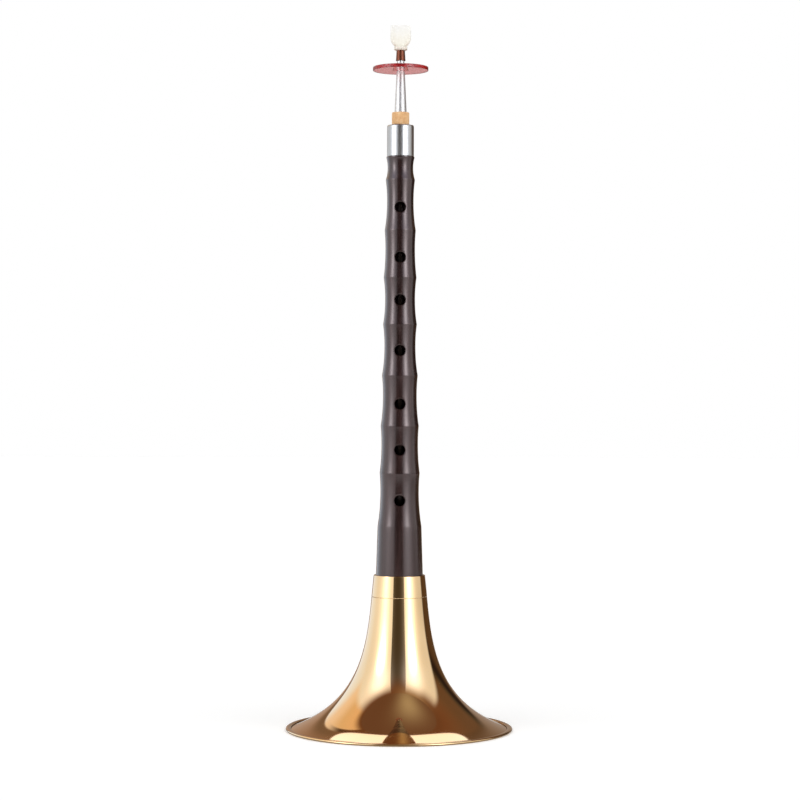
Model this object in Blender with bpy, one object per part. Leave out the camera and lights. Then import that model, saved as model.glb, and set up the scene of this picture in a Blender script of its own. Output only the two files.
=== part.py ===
"""A suona: a conical double-reed horn with a wooden pipe turned like bamboo and a flared brass bell.

Units are metres. The horn stands on its bell, with the origin at the centre of the rim's resting
plane, +Z up to the reed, and the seven front finger holes facing -Y. Every body slides along Z out of
the one below it, so each body hangs from an empty on that axis.
"""

import math
from typing import NamedTuple

import bmesh
import bpy
from mathutils import Matrix, Vector
from mathutils.geometry import interpolate_bezier

# Clearance between pieces that seat on or slide in one another, and round the thin seal and rim wire
GAP = 0.0003
THIN_GAP = 0.0001

# Bell: a spun brass flare whose rim is rolled round a wire; the hem is wider than it is high
BELL_RIM_RADIUS = 0.0650
BELL_HEIGHT = 0.0766
BELL_SHEET = 0.00045
RIM_WIRE_RADIUS = 0.00035
HEM_SPREAD = 0.0013
# The flare is one Bezier. Its upper handle follows the collar's cone down a share of the height,
# and its lower handle runs from the rim inwards over a share of the spread, at the rim's angle
FLARE_NECK_SHARE = 0.44
FLARE_RIM_SHARE = 0.83
FLARE_RIM_ANGLE = math.radians(21.4)

# Collar: the turned socket ring that joins bell and pipe
COLLAR_HEIGHT = 0.0123
COLLAR_WALL = 0.00095
COLLAR_FLARE = 0.00125
COLLAR_EDGE = 0.0003
STOP_WIDTH = 0.0027
STOP_THICKNESS = 0.0023

# Pipe foot and tenon, from the lower end up
FOOT_RADIUS = 0.0135
FOOT_LENGTH = 0.0281
TENON_LENGTH = 0.0177
TENON_LIP = 0.0020
TENON_SHOULDER = 0.0027
TENON_CHAMFER = 0.0004
CORK_BAND_DEPTH = 0.0008
BORE_END_RADIUS = 0.0096
BORE_TOP_RADIUS = 0.0039
FINGER_HOLE_RADIUS = 0.0031
THUMB_HOLE_RISE = 0.0060
LIP_RADIUS = 0.00805
LIP_HEIGHT = 0.0007
LIP_CHAMFER = 0.0003
WAIST_FLATNESS = 2.1


class BambooJoint(NamedTuple):
    """One joint of the pipe: it ends below in a ridge, and its hole lies below the ridge above it."""

    length: float
    ridge_radius: float
    waist_radius: float
    hole_drop: float


# The eight joints from the top down; the first is too short for a hole
TOP_JOINT = BambooJoint(0.0126, 0.00835, 0.00730, 0.0)
HOLED_JOINTS = (
    BambooJoint(0.0290, 0.00890, 0.00760, 0.0161),
    BambooJoint(0.0271, 0.00940, 0.00848, 0.0158),
    BambooJoint(0.0269, 0.00968, 0.00856, 0.0131),
    BambooJoint(0.0293, 0.01025, 0.00890, 0.0151),
    BambooJoint(0.0290, 0.01092, 0.00970, 0.0164),
    BambooJoint(0.0270, 0.01150, 0.01050, 0.0137),
    BambooJoint(0.0304, 0.01260, 0.01110, 0.0156),
)

# Tuning core: a plated head on a stem that slides in the liner of the pipe
LINER_LENGTH = 0.0220
LINER_WALL = 0.0005
STEM_WALL = 0.0008
STEM_END_ROOM = 0.0016
STEM_IN_HEAD = 0.0047
HEAD_WALL = 0.0024
HEAD_HEIGHT = 0.0178
HEAD_EDGE = 0.0010
SEAL_LENGTH = 0.0060
SEAL_DEPTH = 0.0004
SEAL_RISE = 0.0040

# Staple: a tapered tube whose foot is wrapped in cork
STAPLE_TIP_RADIUS = 0.00185
STAPLE_FOOT_RADIUS = 0.00346
STAPLE_TAPER_LENGTH = 0.0342
STAPLE_WALL = 0.0004
STAPLE_BELOW_CORK = 0.0014
CORK_WALL = 0.00124
CORK_SHOWS = 0.0073
CORK_FLOOR_ROOM = 0.0022
CORK_EDGE = 0.0004

# Pirouette: the red disc that the lips rest against
PIROUETTE_RADIUS = 0.0159
PIROUETTE_THICKNESS = 0.00205
PIROUETTE_EDGE = 0.0005
PIROUETTE_BELOW_REED = 0.00195
HUB_RADIUS = 0.0043
HUB_HEIGHT = 0.0017

# Reed: a flattened cane tube tied on a copper tube that slips over the staple's tip
REED_ENGAGEMENT = 0.0045
REED_TUBE_SHOWS = 0.0059
REED_TUBE_IN_CANE = 0.0028
REED_TUBE_WALL = 0.0004
REED_TUBE_NARROWING = 0.00056
CANE_LENGTH = 0.0146
CANE_WIDTH = 0.0118
CANE_TIP_THICKNESS = 0.0013
CANE_WALL = 0.0004
BINDING_START = 0.0003
BINDING_HEIGHT = 0.0018
BINDING_WIRE = 0.00045


class BladeStation(NamedTuple):
    """A cross-section of the cane, as shares of the way from its round base to the flat blade."""

    height: float
    widening: float
    flattening: float


BLADE_STATIONS = (
    BladeStation(0.00, 0.00, 0.00),
    BladeStation(0.09, 0.42, 0.08),
    BladeStation(0.20, 0.78, 0.22),
    BladeStation(0.32, 0.95, 0.38),
    BladeStation(0.46, 1.00, 0.54),
    BladeStation(0.72, 0.97, 0.80),
    BladeStation(1.00, 0.90, 1.00),
)

# Sides of the turned pieces, by how large they are, and steps along the curved outlines
BELL_SIDES = 48
COLLAR_SIDES = 40
PIPE_SIDES = 32
DISC_SIDES = 40
SLENDER_SIDES = 24
CANE_SIDES = 24
HOLE_SIDES = 20
FLARE_STEPS = 14
JOINT_STEPS = 6
HEM_STEP = math.radians(30)

# Radii that follow from what seats in what
SOCKET_RADIUS = FOOT_RADIUS + GAP
COLLAR_TOP_RADIUS = SOCKET_RADIUS + COLLAR_WALL
BELL_NECK_RADIUS = COLLAR_TOP_RADIUS + COLLAR_FLARE
TENON_RADIUS = FOOT_RADIUS - CORK_BAND_DEPTH
STEM_RADIUS = BORE_TOP_RADIUS + STEM_WALL
LINER_BORE_RADIUS = STEM_RADIUS + GAP
LINER_RADIUS = LINER_BORE_RADIUS + LINER_WALL
COUNTERBORE_RADIUS = LINER_RADIUS + GAP
CORK_BORE_RADIUS = STAPLE_FOOT_RADIUS + GAP
CORK_RADIUS = CORK_BORE_RADIUS + CORK_WALL
HEAD_BORE_RADIUS = CORK_RADIUS + GAP
HEAD_RADIUS = HEAD_BORE_RADIUS + HEAD_WALL

# The hem is an oval tube that closes round the rim wire
HEM_HEIGHT = 2 * (RIM_WIRE_RADIUS + THIN_GAP + BELL_SHEET)
HEM_WIDTH = HEM_HEIGHT + HEM_SPREAD
HEM_CENTRE = (BELL_RIM_RADIUS - HEM_WIDTH / 2, HEM_HEIGHT / 2)

# Heights of the bodies' own zero planes, each above the one below
PIPE_SEAT = BELL_HEIGHT + COLLAR_HEIGHT - TENON_LENGTH
PIPE_LENGTH = (
    TENON_LENGTH + FOOT_LENGTH + sum(joint.length for joint in (TOP_JOINT, *HOLED_JOINTS)) + LIP_HEIGHT
)
HEAD_SEAT = PIPE_LENGTH + GAP
STEM_FOOT = STEM_END_ROOM - LINER_LENGTH - GAP
CORK_LENGTH = CORK_SHOWS + HEAD_HEIGHT - STEM_IN_HEAD - CORK_FLOOR_ROOM
PLUG_LENGTH = STAPLE_BELOW_CORK + CORK_LENGTH
STAPLE_LENGTH = PLUG_LENGTH + STAPLE_TAPER_LENGTH
STAPLE_SEAT = HEAD_HEIGHT + CORK_SHOWS - PLUG_LENGTH
REED_SEAT = STAPLE_LENGTH - REED_ENGAGEMENT
PIROUETTE_SEAT = REED_SEAT - PIROUETTE_BELOW_REED - HUB_HEIGHT - PIROUETTE_THICKNESS
CANE_ROUND_LENGTH = BINDING_START + BINDING_HEIGHT


def clear_scene():
    for item in list(bpy.data.objects):
        bpy.data.objects.remove(item, do_unlink=True)


def finish(name, colour, roughness, metallic=0.0):
    """A Principled material in one colour."""
    made = bpy.data.materials.new(name)
    made.use_nodes = True
    shader = made.node_tree.nodes["Principled BSDF"]
    shader.inputs["Base Color"].default_value = (*colour, 1.0)
    shader.inputs["Roughness"].default_value = roughness
    shader.inputs["Metallic"].default_value = metallic
    return made


def axis_empty(name, height, carrier=None):
    """The empty on the horn's axis that carries one body."""
    empty = bpy.data.objects.new(name, None)
    bpy.context.scene.collection.objects.link(empty)
    empty.location = (0.0, 0.0, height)
    empty.parent = carrier
    return empty


def place(name, shape, carrier, material, height=0.0):
    """Turns a bmesh into a named object on its carrier, smooth except at sharp edges."""
    bmesh.ops.recalc_face_normals(shape, faces=shape.faces)
    mesh = bpy.data.meshes.new(name)
    shape.to_mesh(mesh)
    shape.free()
    mesh.materials.append(material)
    mesh.shade_smooth()
    mesh.set_sharp_from_angle(angle=math.radians(30))
    item = bpy.data.objects.new(name, mesh)
    bpy.context.scene.collection.objects.link(item)
    item.location = (0.0, 0.0, height)
    item.parent = carrier
    return item


def turned(outline, sides):
    """The ring-shaped solid that a closed outline of (radius, height) sweeps about Z."""
    shape = bmesh.new()
    points = [shape.verts.new((radius, 0.0, height)) for radius, height in outline]
    edges = [shape.edges.new(pair) for pair in zip(points, points[1:] + points[:1])]
    bmesh.ops.spin(
        shape,
        geom=points + edges,
        cent=(0.0, 0.0, 0.0),
        axis=(0.0, 0.0, 1.0),
        angle=math.tau,
        steps=sides,
        use_merge=True,
    )
    return shape


def sleeve(inner, outer, start, end, sides):
    """A plain tube between two radii and two heights."""
    return turned([(inner, start), (outer, start), (outer, end), (inner, end)], sides)


def oval(half_width, half_height, start, end):
    """Corners, from one angle to another, of the oval about the hem's centre that has flat extremes."""
    count = round(abs(end - start) / HEM_STEP)
    reach = 1.0 / math.cos(HEM_STEP / 2)
    angles = [start + (end - start) * step / count for step in range(count + 1)]
    return [
        (
            HEM_CENTRE[0] + half_width * reach * math.cos(angle),
            HEM_CENTRE[1] + half_height * reach * math.sin(angle),
        )
        for angle in angles
    ]


def flare_line():
    """Outer face of the flare from the neck's top edge down to the hem, as (radius, height)."""
    neck = Vector((BELL_NECK_RADIUS, BELL_HEIGHT - GAP / 2))
    rim = Vector((BELL_RIM_RADIUS - HEM_WIDTH + BELL_SHEET / 2, HEM_HEIGHT / 2))
    drop = FLARE_NECK_SHARE * (neck.y - rim.y)
    reach = FLARE_RIM_SHARE * (rim.x - neck.x)
    neck_handle = neck + Vector((drop * COLLAR_FLARE / COLLAR_HEIGHT, -drop))
    rim_handle = rim + Vector((-reach, reach * math.tan(FLARE_RIM_ANGLE)))
    return interpolate_bezier(neck, neck_handle, rim_handle, rim, FLARE_STEPS)


def inner_line(line, depth):
    """The same line moved by a depth to the inner side, square to its own direction."""
    moved = []
    for index, point in enumerate(line):
        before = line[max(index - 1, 0)]
        after = line[min(index + 1, len(line) - 1)]
        direction = (after - before).normalized()
        moved.append(point + Vector((direction.y, -direction.x)) * depth)
    return moved


def bell_flare():
    """Down the outside, round the rolled hem and its wire channel, and up the inside."""
    outside = flare_line()
    inside = inner_line(outside, BELL_SHEET)
    curl_end, flare_side = math.radians(135), math.radians(-135)
    half_width, half_height = HEM_WIDTH / 2, HEM_HEIGHT / 2
    channel = oval(half_width - BELL_SHEET, half_height - BELL_SHEET, flare_side, curl_end)
    curl = oval(half_width, half_height, curl_end, flare_side)
    outline = [tuple(point) for point in outside] + channel + curl
    outline += [tuple(point) for point in reversed(inside)]
    return turned(outline, BELL_SIDES)


def bell_rim_wire():
    """The hoop inside the hem, with every other corner of its round section."""
    wire = oval(RIM_WIRE_RADIUS, RIM_WIRE_RADIUS, 0.0, math.tau - HEM_STEP)
    return turned(wire[::2], BELL_SIDES)


def bell_collar():
    """A cone outside, a straight socket inside, a stop for the pipe and a spigot for the flare."""
    top = BELL_HEIGHT + COLLAR_HEIGHT
    stop_top = PIPE_SEAT - GAP
    stop_foot = stop_top - STOP_THICKNESS
    shoulder = BELL_HEIGHT + GAP / 2
    spigot_radius = BELL_NECK_RADIUS - BELL_SHEET - GAP
    outline = [
        (SOCKET_RADIUS, top),
        (COLLAR_TOP_RADIUS - COLLAR_EDGE, top),
        (COLLAR_TOP_RADIUS, top - COLLAR_EDGE),
        (BELL_NECK_RADIUS, shoulder),
        (spigot_radius, shoulder),
        (spigot_radius, stop_foot),
        (SOCKET_RADIUS - STOP_WIDTH, stop_foot),
        (SOCKET_RADIUS - STOP_WIDTH, stop_top),
        (SOCKET_RADIUS, stop_top),
    ]
    return turned(outline, COLLAR_SIDES)


def waist_line(joint, ridge_above):
    """Radii and drops below the upper ridge along one joint, its lower ridge included."""
    hollow = (ridge_above + joint.ridge_radius) / 2 - joint.waist_radius
    line = []
    for step in range(1, JOINT_STEPS + 1):
        share = step / JOINT_STEPS
        straight = ridge_above + (joint.ridge_radius - ridge_above) * share
        depth = hollow * (1 - abs(2 * share - 1) ** WAIST_FLATNESS)
        line.append((straight - depth, joint.length * share))
    return line


def ridge_heights():
    """Heights above the pipe's lower end of the lip's foot and of each ridge below it."""
    heights = [PIPE_LENGTH - LIP_HEIGHT]
    for joint in (TOP_JOINT, *HOLED_JOINTS):
        heights.append(heights[-1] - joint.length)
    return heights


def wood_pipe():
    """Outline from the top lip down the bamboo joints to the tenon, and back up the bore."""
    outline = [
        (COUNTERBORE_RADIUS, PIPE_LENGTH),
        (LIP_RADIUS - LIP_CHAMFER, PIPE_LENGTH),
        (LIP_RADIUS, PIPE_LENGTH - LIP_CHAMFER),
        (LIP_RADIUS, PIPE_LENGTH - LIP_HEIGHT),
    ]
    ridge_above = LIP_RADIUS
    for joint, start in zip((TOP_JOINT, *HOLED_JOINTS), ridge_heights()):
        outline += [(radius, start - drop) for radius, drop in waist_line(joint, ridge_above)]
        ridge_above = joint.ridge_radius
    band_top = TENON_LENGTH - TENON_SHOULDER
    counterbore_floor = PIPE_LENGTH - LINER_LENGTH - GAP
    outline += [
        (FOOT_RADIUS, TENON_LENGTH),
        (FOOT_RADIUS, band_top),
        (TENON_RADIUS, band_top),
        (TENON_RADIUS, TENON_LIP),
        (FOOT_RADIUS, TENON_LIP),
        (FOOT_RADIUS, TENON_CHAMFER),
        (FOOT_RADIUS - TENON_CHAMFER, 0.0),
        (BORE_END_RADIUS, 0.0),
        (BORE_TOP_RADIUS, counterbore_floor),
        (COUNTERBORE_RADIUS, counterbore_floor),
    ]
    return turned(outline, PIPE_SIDES)


def hole_drills():
    """Rods from the axis outwards: seven to the front and one to the back for the thumb."""
    shape = bmesh.new()
    ridges = ridge_heights()
    drills = [(ridges[index + 1] - joint.hole_drop, -1) for index, joint in enumerate(HOLED_JOINTS)]
    drills.append((ridges[2] + THUMB_HOLE_RISE, 1))
    depth = 2 * FOOT_RADIUS
    for height, side in drills:
        bmesh.ops.create_cone(
            shape,
            cap_ends=True,
            segments=HOLE_SIDES,
            radius1=FINGER_HOLE_RADIUS,
            radius2=FINGER_HOLE_RADIUS,
            depth=depth,
            matrix=Matrix.Translation((0.0, side * depth / 2, height)) @ Matrix.Rotation(math.pi / 2, 4, "X"),
        )
    return shape


def drill(item, cutter):
    """Cuts the holes with a Boolean and keeps the cutter as a guide only."""
    cutter.hide_render = True
    cutter.display_type = "WIRE"
    cut = item.modifiers.new("finger_holes", "BOOLEAN")
    cut.operation = "DIFFERENCE"
    cut.object = cutter


def tenon_cork():
    """The cork band let into the tenon."""
    foot = TENON_LIP + GAP
    top = TENON_LENGTH - TENON_SHOULDER - GAP
    return sleeve(TENON_RADIUS + GAP, FOOT_RADIUS, foot, top, PIPE_SIDES)


def pipe_liner():
    """The metal tube in the pipe's upper end, flush with the lip."""
    return sleeve(LINER_BORE_RADIUS, LINER_RADIUS, PIPE_LENGTH - LINER_LENGTH, PIPE_LENGTH, SLENDER_SIDES)


def tuning_head():
    """A round-edged sleeve, bored for the stem below and wider for the staple's cork above."""
    stem_socket_radius = STEM_RADIUS + GAP
    softened = HEAD_EDGE * (1 - math.sqrt(0.5))
    outline = [
        (stem_socket_radius, 0.0),
        (HEAD_RADIUS, 0.0),
        (HEAD_RADIUS, HEAD_HEIGHT - HEAD_EDGE),
        (HEAD_RADIUS - softened, HEAD_HEIGHT - softened),
        (HEAD_RADIUS - HEAD_EDGE, HEAD_HEIGHT),
        (HEAD_BORE_RADIUS, HEAD_HEIGHT),
        (HEAD_BORE_RADIUS, STEM_IN_HEAD),
        (stem_socket_radius, STEM_IN_HEAD),
    ]
    return turned(outline, PIPE_SIDES)


def tuning_tube():
    """The stem: it starts inside the head and has a groove for the seal near its foot."""
    groove_radius = STEM_RADIUS - SEAL_DEPTH
    groove_foot = STEM_FOOT + SEAL_RISE
    groove_top = groove_foot + SEAL_LENGTH
    outline = [
        (BORE_TOP_RADIUS, STEM_FOOT),
        (STEM_RADIUS, STEM_FOOT),
        (STEM_RADIUS, groove_foot),
        (groove_radius, groove_foot),
        (groove_radius, groove_top),
        (STEM_RADIUS, groove_top),
        (STEM_RADIUS, STEM_IN_HEAD),
        (BORE_TOP_RADIUS, STEM_IN_HEAD),
    ]
    return turned(outline, SLENDER_SIDES)


def tuning_seal():
    """The rubber sleeve in the stem's groove, which grips the liner."""
    foot = STEM_FOOT + SEAL_RISE + THIN_GAP
    top = STEM_FOOT + SEAL_RISE + SEAL_LENGTH - THIN_GAP
    inner = STEM_RADIUS - SEAL_DEPTH + THIN_GAP
    return sleeve(inner, LINER_BORE_RADIUS - THIN_GAP, foot, top, SLENDER_SIDES)


def staple_radius(height):
    """Outer radius of the staple at a height above its foot."""
    share = max(0.0, (height - PLUG_LENGTH) / STAPLE_TAPER_LENGTH)
    return STAPLE_FOOT_RADIUS + (STAPLE_TIP_RADIUS - STAPLE_FOOT_RADIUS) * share


def staple_tube():
    """Straight through the cork, then tapering to the tip."""
    outside = [(staple_radius(height), height) for height in (0.0, PLUG_LENGTH, STAPLE_LENGTH)]
    inside = [(radius - STAPLE_WALL, height) for radius, height in outside]
    return turned(outside + inside[::-1], SLENDER_SIDES)


def staple_cork():
    """The cork sleeve that plugs into the head, with both outer edges broken."""
    foot, top = STAPLE_BELOW_CORK, PLUG_LENGTH
    outline = [
        (CORK_BORE_RADIUS, foot),
        (CORK_RADIUS - CORK_EDGE, foot),
        (CORK_RADIUS, foot + CORK_EDGE),
        (CORK_RADIUS, top - CORK_EDGE),
        (CORK_RADIUS - CORK_EDGE, top),
        (CORK_BORE_RADIUS, top),
    ]
    return turned(outline, SLENDER_SIDES)


def pirouette_disc():
    """A flat disc with broken edges and a low hub, bored to the staple's taper."""
    hub_top = PIROUETTE_THICKNESS + HUB_HEIGHT
    outline = [
        (staple_radius(PIROUETTE_SEAT) + GAP, 0.0),
        (PIROUETTE_RADIUS - PIROUETTE_EDGE, 0.0),
        (PIROUETTE_RADIUS, PIROUETTE_EDGE),
        (PIROUETTE_RADIUS, PIROUETTE_THICKNESS - PIROUETTE_EDGE),
        (PIROUETTE_RADIUS - PIROUETTE_EDGE, PIROUETTE_THICKNESS),
        (HUB_RADIUS, PIROUETTE_THICKNESS),
        (HUB_RADIUS, hub_top - PIROUETTE_EDGE),
        (HUB_RADIUS - PIROUETTE_EDGE, hub_top),
        (staple_radius(PIROUETTE_SEAT + hub_top) + GAP, hub_top),
    ]
    return turned(outline, DISC_SIDES)


def reed_tube_radius(height):
    """Outer radius of the reed's tube at a height above its foot."""
    foot_radius = staple_radius(REED_SEAT) + GAP + REED_TUBE_WALL
    return foot_radius - REED_TUBE_NARROWING * height / (REED_TUBE_SHOWS + REED_TUBE_IN_CANE)


def reed_tube():
    """One cone outside; inside it fits the staple's taper up to the tip, then narrows on."""
    top = REED_TUBE_SHOWS + REED_TUBE_IN_CANE
    outline = [
        (staple_radius(REED_SEAT) + GAP, 0.0),
        (reed_tube_radius(0.0), 0.0),
        (reed_tube_radius(top), top),
        (reed_tube_radius(top) - REED_TUBE_WALL, top),
        (STAPLE_TIP_RADIUS + GAP, REED_ENGAGEMENT + GAP),
    ]
    return turned(outline, SLENDER_SIDES)


def cane_base_radius():
    """Outer radius of the cane where it is still round, on its tube."""
    return reed_tube_radius(REED_TUBE_SHOWS) + GAP + CANE_WALL


def cane_ring(shape, half_width, half_thickness, height):
    """One oval ring of vertices."""
    corners = [math.tau * side / CANE_SIDES for side in range(CANE_SIDES)]
    return [
        shape.verts.new((half_width * math.cos(corner), half_thickness * math.sin(corner), height))
        for corner in corners
    ]


def reed_cane():
    """A tube that is round at its base and pressed nearly flat at its tip, open at both ends."""
    base = cane_base_radius()
    blade_length = CANE_LENGTH - CANE_ROUND_LENGTH
    sections = [(base, base, 0.0)]
    for station in BLADE_STATIONS:
        half_width = base + (CANE_WIDTH / 2 - base) * station.widening
        half_thickness = base + (CANE_TIP_THICKNESS / 2 - base) * station.flattening
        sections.append((half_width, half_thickness, CANE_ROUND_LENGTH + blade_length * station.height))
    shape = bmesh.new()
    rings = [cane_ring(shape, *section) for section in sections]
    for half_width, half_thickness, height in reversed(sections):
        rings.append(cane_ring(shape, half_width - CANE_WALL, half_thickness - CANE_WALL, height))
    for ring, following in zip(rings, rings[1:] + rings[:1]):
        for side in range(CANE_SIDES):
            beside = (side + 1) % CANE_SIDES
            shape.faces.new((ring[side], ring[beside], following[beside], following[side]))
    return shape


def reed_binding():
    """The turns tied round the base of the cane, as one ring with a rounded outside."""
    inner = cane_base_radius() + GAP
    end = BINDING_START + BINDING_HEIGHT
    bulge = BINDING_WIRE / 2
    outline = [
        (inner, BINDING_START),
        (inner + bulge, BINDING_START),
        (inner + BINDING_WIRE, BINDING_START + bulge),
        (inner + BINDING_WIRE, end - bulge),
        (inner + bulge, end),
        (inner, end),
    ]
    return turned(outline, SLENDER_SIDES)


def build():
    clear_scene()
    brass = finish("brass", (0.78, 0.50, 0.20), 0.12, 1.0)
    nickel = finish("nickel_plate", (0.72, 0.72, 0.72), 0.15, 1.0)
    copper = finish("copper", (0.55, 0.28, 0.16), 0.25, 1.0)
    wood = finish("dark_wood", (0.075, 0.050, 0.048), 0.40)
    cork = finish("cork", (0.80, 0.50, 0.28), 0.85)
    red = finish("red_plastic", (0.60, 0.01, 0.03), 0.10)
    cane = finish("cane", (0.90, 0.87, 0.74), 0.55)
    thread = finish("binding_thread", (0.85, 0.80, 0.68), 0.70)
    rubber = finish("seal_rubber", (0.03, 0.03, 0.03), 0.60)

    bell = axis_empty("bell_axis", 0.0)
    pipe = axis_empty("pipe_axis", PIPE_SEAT, bell)
    tuning_core = axis_empty("tuning_axis", HEAD_SEAT, pipe)
    staple = axis_empty("staple_axis", STAPLE_SEAT, tuning_core)
    pirouette = axis_empty("pirouette_axis", PIROUETTE_SEAT, staple)
    reed = axis_empty("reed_axis", REED_SEAT, staple)

    place("bell_flare", bell_flare(), bell, brass)
    place("bell_rim_wire", bell_rim_wire(), bell, brass)
    place("bell_collar", bell_collar(), bell, brass)

    wooden = place("wood_pipe", wood_pipe(), pipe, wood)
    drill(wooden, place("hole_drills", hole_drills(), pipe, wood))
    place("pipe_liner", pipe_liner(), pipe, brass)
    place("tenon_cork", tenon_cork(), pipe, cork)

    place("tuning_head", tuning_head(), tuning_core, nickel)
    place("tuning_tube", tuning_tube(), tuning_core, brass)
    place("tuning_seal", tuning_seal(), tuning_core, rubber)

    place("staple_tube", staple_tube(), staple, nickel)
    place("staple_cork", staple_cork(), staple, cork)
    place("pirouette_disc", pirouette_disc(), pirouette, red)

    place("reed_tube", reed_tube(), reed, copper)
    place("reed_cane", reed_cane(), reed, cane, REED_TUBE_SHOWS)
    place("reed_binding", reed_binding(), reed, thread, REED_TUBE_SHOWS)


build()
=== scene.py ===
"""Looks of the suona: fine turned surfaces, procedural materials, studio light and the photo's camera."""

import math

import bmesh
import bpy
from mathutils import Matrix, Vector
from mathutils.geometry import interpolate_bezier


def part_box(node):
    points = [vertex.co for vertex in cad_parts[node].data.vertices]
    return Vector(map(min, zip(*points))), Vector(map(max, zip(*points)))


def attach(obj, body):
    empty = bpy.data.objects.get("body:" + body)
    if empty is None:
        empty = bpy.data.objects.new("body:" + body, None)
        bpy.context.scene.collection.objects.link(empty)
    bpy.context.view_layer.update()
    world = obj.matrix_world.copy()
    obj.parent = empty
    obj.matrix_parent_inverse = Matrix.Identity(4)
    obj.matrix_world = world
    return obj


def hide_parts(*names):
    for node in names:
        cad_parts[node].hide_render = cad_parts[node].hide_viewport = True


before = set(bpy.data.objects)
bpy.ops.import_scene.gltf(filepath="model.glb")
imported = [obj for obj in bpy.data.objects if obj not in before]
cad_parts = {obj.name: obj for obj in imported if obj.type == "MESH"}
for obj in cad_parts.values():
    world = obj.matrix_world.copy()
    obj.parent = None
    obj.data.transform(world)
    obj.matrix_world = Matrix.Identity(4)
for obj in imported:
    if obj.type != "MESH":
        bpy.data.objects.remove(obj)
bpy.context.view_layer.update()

MM = 0.001

# Camera of the photo: level, one focal length for the whole 800-pixel frame
FRAME_PX = 800.0
FOCAL_PX = 2219.0
SENSOR_MM = 36.0
CAMERA_DISTANCE = 1.2747
CAMERA_HEIGHT = 0.1893
CAMERA_ROLL = math.radians(-0.15)
CAMERA_OFFSET = 0.1 * MM

# Edges of a piece that turn more than this many degrees stay sharp, unless the piece says otherwise
SHARP_ANGLE = 35

# Running gap between fitted pieces, as in the CAD model
GAP = 0.3 * MM

# Bell: the flare's sheet, its Bezier outline and its rolled hem
BELL_SIDES = 160
BELL_SHEET = 0.45 * MM
FLARE_NECK_SHARE = 0.44
FLARE_RIM_SHARE = 0.83
FLARE_RIM_ANGLE = math.radians(21.4)
FLARE_STEPS = 72
HEM_HEIGHT = 1.8 * MM
HEM_WIDTH = 3.1 * MM
HEM_START = math.radians(158)
HEM_SWEEP = math.radians(298)
HEM_STEPS = 26

# Faces this far inside the hem, or turned down more than this, show the bell's duller inside
INSIDE_MARGIN = 1.0 * MM
INSIDE_TILT = -0.3

# Collar
COLLAR_SIDES = 128
COLLAR_WALL = 1.25 * MM
STOP_HEIGHT = 2.3 * MM
STOP_WIDTH = 2.7 * MM

# Pipe: length, ridge radius, waist radius and the hole's drop below the upper ridge, from the top
PIPE_SIDES = 128
PIPE_JOINTS = (
    (12.6 * MM, 8.35 * MM, 7.30 * MM, None),
    (29.0 * MM, 8.90 * MM, 7.60 * MM, 16.1 * MM),
    (27.1 * MM, 9.40 * MM, 8.48 * MM, 15.8 * MM),
    (26.9 * MM, 9.68 * MM, 8.56 * MM, 13.1 * MM),
    (29.3 * MM, 10.25 * MM, 8.90 * MM, 15.1 * MM),
    (29.0 * MM, 10.92 * MM, 9.70 * MM, 16.4 * MM),
    (27.0 * MM, 11.50 * MM, 10.50 * MM, 13.7 * MM),
    (30.4 * MM, 12.60 * MM, 11.10 * MM, 15.6 * MM),
)
WAIST_FLATNESS = 2.1
LIP_RADIUS = 8.05 * MM
LIP_HEIGHT = 0.7 * MM
FOOT_RADIUS = 13.5 * MM
FOOT_LENGTH = 28.1 * MM
HOLE_RADIUS = 3.1 * MM
HOLE_EASE = 0.4 * MM
EASE_STEPS = 5
EASE_TURN = math.radians(75)
HOLE_SIDES = 48
CUTTER_RISE = 4.0 * MM
RIDGE_EASE = 0.15 * MM
JOINT_STEPS = 16
THUMB_RISE = 6.0 * MM

# Pipe: its foot, tenon, liner seat and bore
FOOT_STEPS = 8
FOOT_CHAMFER = 0.4 * MM
TENON_LENGTH = 17.7 * MM
TENON_CUT = 0.8 * MM
BAND_DROP = 2.7 * MM
BAND_RISE = 2.0 * MM
LINER_RADIUS = 5.8 * MM
LINER_DEPTH = 22.3 * MM
BORE_FOOT_RADIUS = 9.6 * MM
BORE_TOP_RADIUS = 3.9 * MM
BORE_STEPS = 24

# Distance of the extra points that keep a fillet's smooth shading off the flat faces beside it
FLAT_EDGE = 0.03 * MM

# Tuning head, with how far its visible foot closes the running gap to the wood
HEAD_SIDES = 96
HEAD_BORE = 5.0 * MM
HEAD_SOCKET = 5.3 * MM
HEAD_FLOOR = 4.7 * MM
HEAD_SEAT = 0.22 * MM

# Staple and its cork
STAPLE_SIDES = 64
STAPLE_TIP = 1.85 * MM
STAPLE_WALL = 0.4 * MM
STAPLE_TAPER = 34.2 * MM
CORK_BORE = 3.76 * MM

# Lip disc
DISC_SIDES = 112
DISC_THICKNESS = 2.05 * MM
HUB_RADIUS = 4.3 * MM
DISC_BORE_FOOT = 2.65 * MM
DISC_BORE_TOP = 2.5 * MM
RIM_WIDTH = 0.4 * MM
RIM_FADE = 0.2 * MM
RIM_PINK = (0.94, 0.62, 0.68, 1.0)
RIM_FROST = (0.3, 0.3, 0.3, 1.0)

# Reed: its tube, its cane and the thread round the cane's base
TUBE_SIDES = 56
TUBE_TAPER = 0.56 * MM
TUBE_WALL = 0.4 * MM
TUBE_SEAT_RADIUS = 2.15 * MM
TUBE_SEAT_RISE = 4.8 * MM
CANE_SIDES = 72
CANE_ROWS = 30
CANE_BASE = 3.08 * MM
CANE_TIP = 0.65 * MM
CANE_WALL = 0.4 * MM
CANE_TIED = 2.1 * MM
THREAD_TURNS = 6
THREAD_SIDES = 10
THREAD_STEPS = 96

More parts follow.
